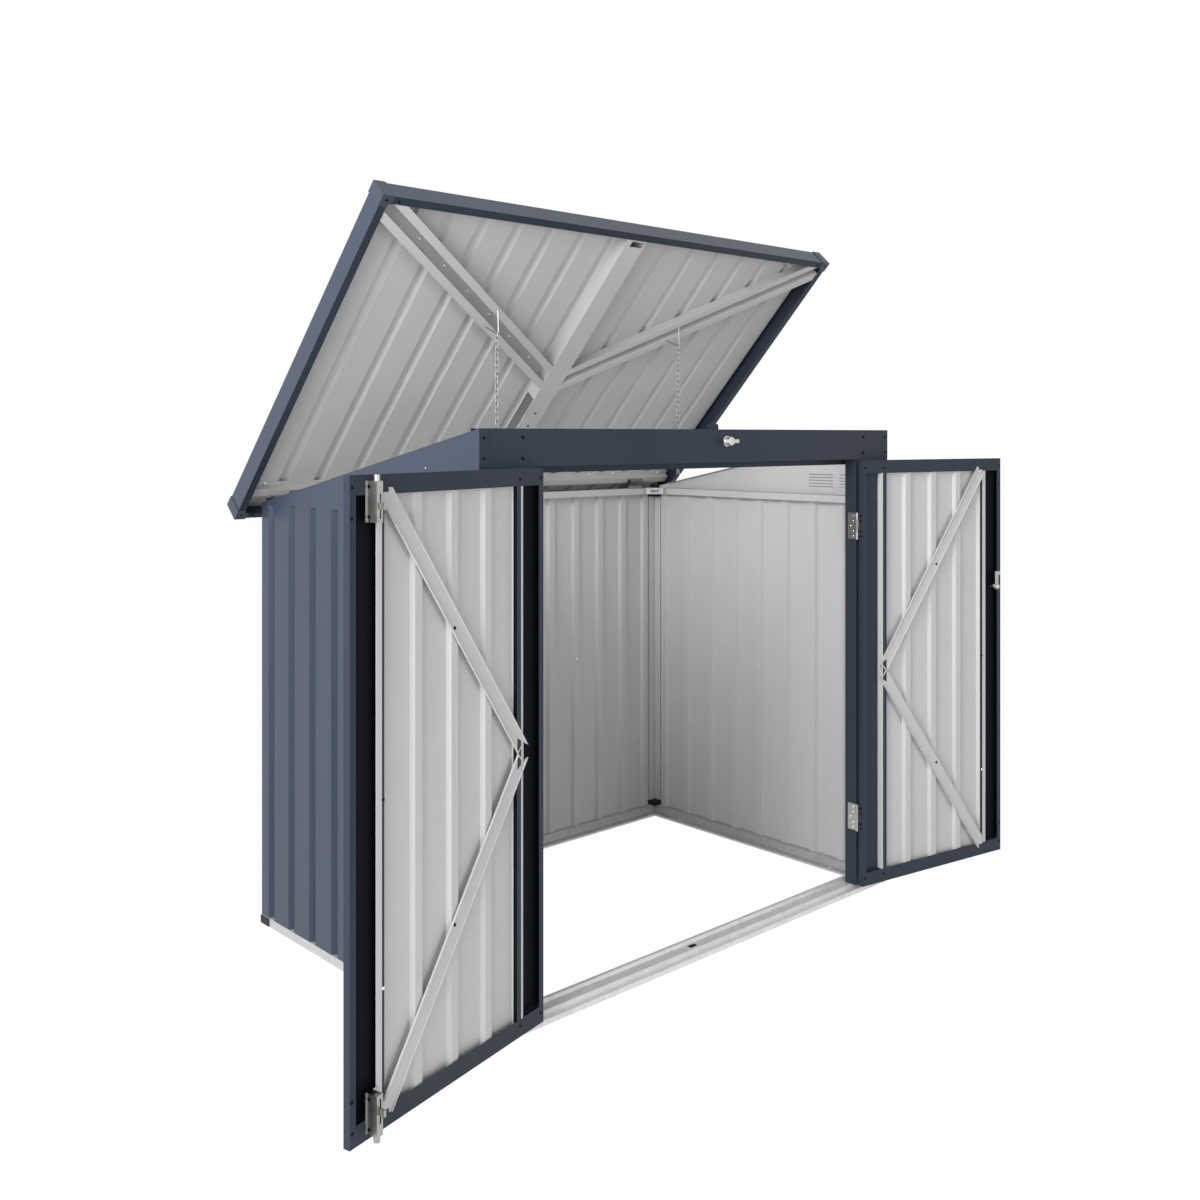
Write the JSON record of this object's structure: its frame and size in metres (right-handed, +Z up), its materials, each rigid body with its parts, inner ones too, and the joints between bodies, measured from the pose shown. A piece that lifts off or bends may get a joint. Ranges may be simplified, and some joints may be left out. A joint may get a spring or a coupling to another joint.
{
  "type": "garden storage cabinet",
  "caption": "Ribbed sheet-metal garden store with a sloping lid held on rear hinges, a pair of braced front doors with bolts and a turn latch, and chains under the lid.",
  "frame": {"origin": "on the ground, at the centre of the four anchor holes and of the cabinet's footprint", "axes": "+X to the right seen from the front, +Y to the back, +Z up; the doors open to -Y"},
  "size_m": [2.2668, 1.17, 1.8179],
  "materials": {
    "navy_paint": "dark blue-grey powder coat outside, light grey primer inside",
    "grey_sheet": "light grey coated steel",
    "base_zinc": "pale galvanised steel",
    "zinc": "bright zinc plating",
    "chain_steel": "plated wire",
    "black_plastic": "dark moulded plastic",
    "navy_plastic": "dark blue-grey moulded plastic",
    "latch_zinc": "cast zinc, plated and tumbled"
  },
  "bodies": {
    "cabinet": {"front_sill": "base_zinc", "left_base_rail": "base_zinc", "right_base_rail": "base_zinc", "back_base_rail": "base_zinc", "corner_brackets": "zinc", "left_front_post": "navy_paint", "right_front_post": "navy_paint", "left_rear_post": "grey_sheet", "right_rear_post": "grey_sheet", "rear_post_plugs": "black_plastic", "left_wall": "navy_paint", "right_wall": "navy_paint", "back_wall": "navy_paint", "left_top_rail": "grey_sheet", "right_top_rail": "grey_sheet", "back_top_rail": "grey_sheet", "left_gable": "navy_paint", "right_gable": "navy_paint", "fascia": "navy_paint", "lock_plate": "navy_paint", "fixed_hinge_leaves": "zinc", "hinge_pins": "zinc", "lid_latch_ring": "latch_zinc"},
    "left_door": {"left_door_hinge_stile": "navy_paint", "left_door_lock_stile": "navy_paint", "left_door_rails": "navy_paint", "left_door_panel": "navy_paint", "left_door_trims": "zinc", "left_door_braces": "grey_sheet", "left_door_hinge_leaves": "zinc", "bolt_brackets": "zinc"},
    "right_door": {"right_door_hinge_stile": "navy_paint", "right_door_lock_stile": "navy_paint", "right_door_rails": "navy_paint", "right_door_panel": "navy_paint", "right_door_trims": "zinc", "right_door_braces": "grey_sheet", "right_door_hinge_leaves": "zinc", "door_latch_ring": "latch_zinc"},
    "top_bolt": {"top_bolt_rod": "zinc"},
    "bottom_bolt": {"bottom_bolt_rod": "zinc"},
    "door_latch": {"door_latch_handle": "latch_zinc", "door_latch_cam": "zinc"},
    "lid_latch": {"lid_latch_handle": "latch_zinc", "lid_latch_cam": "zinc"},
    "lid": {"lid_front_rail": "navy_paint", "lid_back_rail": "navy_paint", "lid_left_rail": "navy_paint", "lid_right_rail": "navy_paint", "lid_corner_caps": "navy_plastic", "lid_panel": "navy_paint", "lid_centre_beam": "grey_sheet", "lid_left_brace": "grey_sheet", "lid_right_brace": "grey_sheet", "lid_cross_rail": "grey_sheet", "lid_hinge_leaves": "zinc", "lid_keeper": "grey_sheet", "chain_hangers": "chain_steel"},
    "left_chain": {"left_chain": "chain_steel"},
    "right_chain": {"right_chain": "chain_steel"}
  },
  "joints": [
    {"name": "left_door_swing", "type": "hinge", "parent": "cabinet", "child": "left_door", "pos_m": [-0.5725, -0.467, 0.6], "axis": [0, 0, 1], "range_deg": [-8.8, 166.2]},
    {"name": "right_door_swing", "type": "hinge", "parent": "cabinet", "child": "right_door", "pos_m": [0.5725, -0.467, 0.6], "axis": [0, 0, -1], "range_deg": [-4.9, 170.1]},
    {"name": "lid_lift", "type": "hinge", "parent": "cabinet", "child": "lid", "pos_m": [0, 0.452, 1.0892], "axis": [-1, 0, 0], "range_deg": [-34.1, 10.4]},
    {"name": "left_chain_hang", "type": "hinge", "parent": "lid", "child": "left_chain", "pos_m": [-0.33, -0.01954, 1.52011], "axis": [-1, 0, 0], "range_deg": [-10.4, 34.1]},
    {"name": "right_chain_hang", "type": "hinge", "parent": "lid", "child": "right_chain", "pos_m": [0.33, -0.01954, 1.52011], "axis": [-1, 0, 0], "range_deg": [-10.4, 34.1]},
    {"name": "top_bolt_slide", "type": "slide", "parent": "left_door", "child": "top_bolt", "axis": [0, 0, 1], "range_m": [0, 0.015]},
    {"name": "bottom_bolt_slide", "type": "slide", "parent": "left_door", "child": "bottom_bolt", "axis": [0, 0, -1], "range_m": [0, 0.015]},
    {"name": "door_latch_turn", "type": "hinge", "parent": "right_door", "child": "door_latch", "pos_m": [1.11116, -0.56507, 0.812], "axis": [0.1719, 0.9851, 0], "range_deg": [0, 90]},
    {"name": "lid_latch_turn", "type": "hinge", "parent": "cabinet", "child": "lid_latch", "pos_m": [0.037, -0.463, 1.247], "axis": [0, -1, 0], "range_deg": [0, 90]}
  ],
  "couplings": [
    {"joint": "left_chain_hang", "follows": "lid_lift", "ratio": -1},
    {"joint": "right_chain_hang", "follows": "lid_lift", "ratio": -1}
  ]
}
